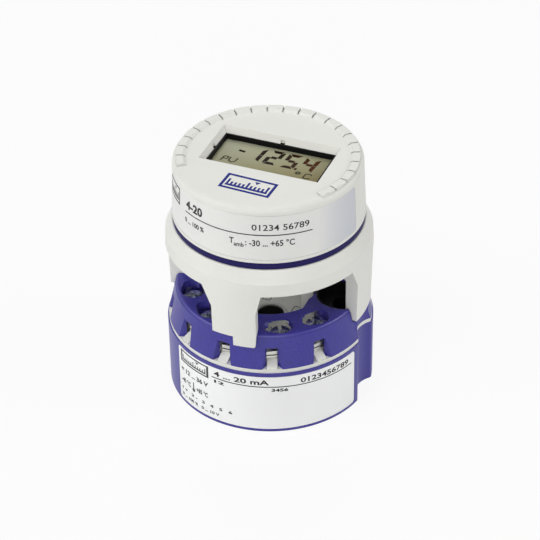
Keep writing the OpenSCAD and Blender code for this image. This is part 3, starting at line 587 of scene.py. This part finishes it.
# Display: slanted segment digits, a minus sign, and the small legends beside them
def digit(sheet, x, y, shown, w=3.1, h=5.3, t=0.88, lean=0.115, gap=0.04):
    def p(u, v):
        return (x + u + v * lean, y + v)
    half = h / 2
    over = gap + t * 0.2
    bars = {
        "a": [(over, h), (w - over, h), (w - t - gap / 2, h - t), (t + gap / 2, h - t)],
        "g": [(t + gap, half + t / 2), (w - t - gap, half + t / 2),
              (w - t - gap, half - t / 2), (t + gap, half - t / 2)],
        "d": [(over, 0), (w - over, 0), (w - t - gap / 2, t), (t + gap / 2, t)],
    }
    upper = [(0, h - over), (t, h - t - gap), (t, half + gap), (0, half + gap)]
    bars["f"] = upper
    bars["e"] = [(u, h - v) for u, v in upper]
    bars["b"] = [(w - u, v) for u, v in upper]
    bars["c"] = [(w - u, h - v) for u, v in upper]
    for name in shown:
        sheet.poly([p(u, v) for u, v in bars[name]])


def print_display():
    z = top("lcd_panel") + INK_LIFT
    main = Print()
    foot = 0.6
    for x, shown in ((-5.85, "bc"), (-1.9, "abged"), (1.95, "afgcd"), (5.85, "fgbc")):
        digit(main, x, foot, shown)
    point = [(5.25, 0.62), (5.8, 0.55), (5.85, 1.3), (5.35, 1.35)]
    minus = [(-7.9, 3.15), (-6.45, 2.95), (-6.4, 3.6), (-7.85, 3.8)]
    main.poly(point)
    main.poly(minus)
    main.lay("display_digits", on_plane(z), SEGMENT, "display_head")
    small = Print()
    pen, bold_pen = 0.34, 0.42
    letter_p = [(-10.1, -1.3), (-9.85, 0.45), (-8.85, 0.45), (-8.95, -0.35), (-9.95, -0.35)]
    letter_u = [(-8.4, 0.5), (-8.5, -0.8), (-7.75, -1.3), (-7.1, -0.85), (-6.85, 0.5)]
    degree = [(6.25, 0.1), (7.0, 0.05), (6.9, -0.6), (6.15, -0.55), (6.25, 0.1)]
    letter_c = [(9.6, -0.3), (9.3, 0.1), (8.25, 0.0), (8.05, -1.55), (9.1, -1.65), (9.5, -1.25)]
    small.path(letter_p, pen)
    small.path(letter_u, pen)
    small.path(degree, bold_pen)
    small.path(letter_c, pen)
    small.lay("display_legends", on_plane(z), THIN_SEGMENT, "display_head")


# A scale in a frame, which stands where a maker's sign would be. It is drawn about its centre.
def scale_emblem(sheet, at, w, h, pen, turn=0.0):
    c, s = math.cos(turn), math.sin(turn)

    def p(x, y):
        return (at[0] + x * c - y * s, at[1] + x * s + y * c)

    x, y, half = w / 2, h / 2, pen / 2
    for side in (-1, 1):
        sheet.line(p(-x - half, side * y), p(x + half, side * y), pen)
        sheet.line(p(side * x, half - y), p(side * x, y - half), pen)
    foot = -h * 0.27
    span = w * 0.41
    sheet.line(p(-span - half, foot), p(span + half, foot), pen)
    marks = 10
    for i in range(marks + 1):
        mark = -span + 2 * span * i / marks
        high = h * (0.46 if i % 5 == 0 else 0.27)
        sheet.line(p(mark, foot + half), p(mark, foot + high), pen * 0.75)
    sheet.poly([p(w * 0.08, h * 0.36), p(w * 0.2, h * 0.36), p(w * 0.14, h * 0.16)])


def print_top():
    z = top("display_housing") - GRIP_H + INK_LIFT
    sheet = Print()
    scale_emblem(sheet, (0.4, -11.55), w=10.4, h=4.6, pen=0.62, turn=math.radians(-2.5))
    sheet.lay("top_print", on_plane(z), BLUE_INK, "display_head")


def label_x(deg, middle_deg, radius):
    return math.radians(deg - middle_deg) * radius


# Label round the display housing. Places along it are directions in degrees, as on the body label.
def print_display_label():
    low, high = bottom("display_housing"), top("display_housing") - GRIP_H
    foot_r = reach("display_housing") - LABEL_SINK

    def side_r(z):
        return foot_r - HEAD_DRAFT * (z - low) / (high - low)

    middle = 270

    def x(deg):
        return label_x(deg, middle, side_r(low))

    place = on_round(side_r, middle)
    sheet = Print()
    scale_emblem(sheet, (x(214), 50.6), w=6.4, h=3.6, pen=0.36)
    sheet.row("4-20", x(232.4), x(248.3), 49.7, 2.65, 0.1)
    sheet.row("01234 56789", x(283.4), x(320.5), 49.85, 1.95, 0.02)
    sheet.bar(x(231.5), 48.62, x(322.5), 48.86)
    sheet.lay("display_label_print", place, BLACK_INK, "display_head", STRIP)
    thin = Print()
    thin.row("0 ... 100 %", x(231), x(249.5), 46.3, 1.5, 0.045)
    thin.row("T", x(268.7), x(268.7) + 1.05, 46.2, 1.95, 0.04)
    thin.row("amb", x(271.7), x(271.7) + 2.3, 45.75, 1.35, 0.03)
    thin.row(": -30 ... +65 °C", x(279.2), x(310.6), 46.2, 1.95, 0.04)
    thin.lay("display_label_text", place, DARK_INK, "display_head", STRIP)


# Label on the side of the transmitter
def print_body_label():
    radius = reach("body_label")
    middle = 287.35

    def x(deg):
        return label_x(deg, middle, radius)

    place = on_round(radius, middle)
    sheet = Print()
    emblem_x = (x(232.8) + x(255.2)) / 2
    scale_emblem(sheet, (emblem_x, 12.55), w=8.5, h=2.75, pen=0.33)
    for side_x in (-3.95, 3.95):
        sheet.bar(emblem_x + side_x - 0.1, 11.4, emblem_x + side_x + 0.1, 13.7)
    sheet.row("4 ... 20 mA", x(259.2), x(291), 12.5, 1.75, 0.05)
    sheet.row("0123456789", x(308.3), x(339.4), 12.4, 1.75, 0.045)
    sheet.bar(x(257.7), 11.82, x(342), 12.06)
    sheet.row("12", x(259.3), x(265.6), 10.65, 1.05, 0.04)
    sheet.row("3456", x(292.2), x(301.4), 10.75, 1.05, 0.04)
    sheet.lay("body_label_print", place, BLACK_INK, "transmitter", STRIP)
    thin = Print()
    margin = x(232.6)
    thin.row("= 12 ... 36 V", margin, x(255), 8.45, 1.6, 0.06)
    thin.row("-40 °C", margin, x(241.2), 5.6, 1.55, 0.06)
    thin.row("+85 °C", x(246), x(254.6), 5.6, 1.55, 0.06)
    stem = x(243.7)
    thin.bar(stem - 0.14, 5.7, stem + 0.14, 7.5)
    thin.ring((stem, 5.4), 0.45, 0.45, 16)
    thin.row("1 +   2 -   3   4   5   6", margin, x(270), 3.4, 1.0, 0.04)
    thin.row("0 ... 100 %   0 ... 10 V", margin, x(262), 1.75, 1.0, 0.04)
    thin.lay("body_label_text", place, GREY_INK, "transmitter", STRIP)


# Wiring label: short lines at the terminals and plain outlines of sensors between them
def print_wiring():
    z = top("wiring_label") + INK_LIFT
    sheet = Print()
    pen = 0.15
    rim, bend, end = 11.6, 9.6, 8.2
    sides_deg, spacing_deg, half_deg = (91.4, 271.4), 28, 5
    for middle in sides_deg:
        for step in range(-2, 3):
            screw = middle + spacing_deg * step
            if step % 2:
                left, right = screw - half_deg, screw + half_deg
                sheet.line(polar(bend, left), polar(rim, left), pen)
                sheet.line(polar(bend, left), polar(bend, right), pen)
                sheet.line(polar(bend, right), polar(rim, right), pen)
            else:
                sheet.line(polar(end, screw), polar(rim, screw), pen)
    for at, half in (((4.9, 3.1), 0.95), ((-2.7, 4.9), 0.85), ((-5.4, -1.6), 0.8)):
        outline = [(-half, -half), (half, -half), (half, half), (-half, half), (-half, -half)]
        sheet.path([(at[0] + u, at[1] + v) for u, v in outline], pen)
    sheet.line((4.3, -2.1), (5.9, -2.9), pen)
    sheet.line((1.9, -4.6), (2.6, -5.4), pen)
    sheet.lay("wiring_print", on_plane(z), BLACK_INK, "transmitter")


def polar(radius, deg):
    return (radius * math.cos(math.radians(deg)), radius * math.sin(math.radians(deg)))


print_display()
print_top()
print_display_label()
print_body_label()
print_wiring()


# Floor, light and surroundings: sizes and distances in metres, angles in degrees, powers in watts

FLOOR = 3.0
FLOOR_GREY = 0.85
FLOOR_GLOW = 0.9
ROOM_LIGHT = 0.03
LIGHT_AWAY = 1.0
LIGHT_AIM = (0, 0, mm(28))
LIGHTS = (
    # name, azimuth, elevation, size, power
    ("key", 248, 52, 0.5, 2.6),
    ("left", 212, 25, 0.6, 3.8),
    ("front", 295, 22, 0.5, 2.9),
    ("right", 15, 30, 0.5, 3.6),
    ("back", 112, 55, 0.5, 2.9),
)


def seen(tree, share):
    """A factor that is share where the surface is seen, in a mirror or through glass too, and else 0."""
    path = tree.nodes.new("ShaderNodeLightPath")
    total = path.outputs["Is Camera Ray"]
    for ray in ("Is Glossy Ray", "Is Transmission Ray"):
        either = tree.nodes.new("ShaderNodeMath")
        either.operation = "MAXIMUM"
        tree.links.new(total, either.inputs[0])
        tree.links.new(path.outputs[ray], either.inputs[1])
        total = either.outputs["Value"]
    part = tree.nodes.new("ShaderNodeMath")
    part.operation = "MULTIPLY"
    part.inputs[1].default_value = share
    tree.links.new(total, part.inputs[0])
    return part.outputs["Value"]


def mixed(tree, share, lit, shown):
    """Gives off lit as light, and mixes in a share of shown where it is seen."""
    mix = tree.nodes.new("ShaderNodeMixShader")
    tree.links.new(seen(tree, share), mix.inputs["Fac"])
    tree.links.new(lit, mix.inputs[1])
    tree.links.new(shown, mix.inputs[2])
    return mix.outputs["Shader"]


def white_ground():
    mesh = bpy.data.meshes.new("floor")
    half = FLOOR / 2
    mesh.from_pydata([(-half, -half, 0), (half, -half, 0), (half, half, 0), (-half, half, 0)],
                     [], [[0, 1, 2, 3]])
    mat = bpy.data.materials.new("floor_paper")
    mat.use_nodes = True
    tree = mat.node_tree
    tree.nodes.clear()
    out = tree.nodes.new("ShaderNodeOutputMaterial")
    plain = tree.nodes.new("ShaderNodeBsdfDiffuse")
    plain.inputs["Color"].default_value = (FLOOR_GREY, FLOOR_GREY, FLOOR_GREY, 1)
    glow = tree.nodes.new("ShaderNodeEmission")
    glow.inputs["Color"].default_value = (1, 1, 1, 1)
    glow.inputs["Strength"].default_value = 1
    look = mixed(tree, FLOOR_GLOW, plain.outputs["BSDF"], glow.outputs["Emission"])
    tree.links.new(look, out.inputs["Surface"])
    mesh.materials.append(mat)
    floor = bpy.data.objects.new("floor", mesh)
    scene.collection.objects.link(floor)


def surroundings():
    world = bpy.data.worlds.new("studio")
    scene.world = world
    world.use_nodes = True
    tree = world.node_tree
    tree.nodes.clear()
    out = tree.nodes.new("ShaderNodeOutputWorld")
    room = tree.nodes.new("ShaderNodeBackground")
    room.inputs["Color"].default_value = (1, 1, 1, 1)
    room.inputs["Strength"].default_value = ROOM_LIGHT
    white = tree.nodes.new("ShaderNodeBackground")
    white.inputs["Color"].default_value = (1, 1, 1, 1)
    white.inputs["Strength"].default_value = 1
    look = mixed(tree, 1, room.outputs["Background"], white.outputs["Background"])
    tree.links.new(look, out.inputs["Surface"])


def soft_light(name, azimuth, elevation, size, power):
    """A round soft light that shines at the middle of the object from that direction."""
    data = bpy.data.lights.new(name, "AREA")
    data.shape = "DISK"
    data.size = size
    data.energy = power
    light = bpy.data.objects.new(name, data)
    turn, lift = math.radians(azimuth), math.radians(elevation)
    away = Vector((math.cos(turn) * math.cos(lift), math.sin(turn) * math.cos(lift), math.sin(lift)))
    light.location = Vector(LIGHT_AIM) + away * LIGHT_AWAY
    light.rotation_euler = away.to_track_quat("Z", "Y").to_euler()
    scene.collection.objects.link(light)


white_ground()
surroundings()
for row in LIGHTS:
    soft_light(*row)

scene.view_settings.view_transform = "Standard"
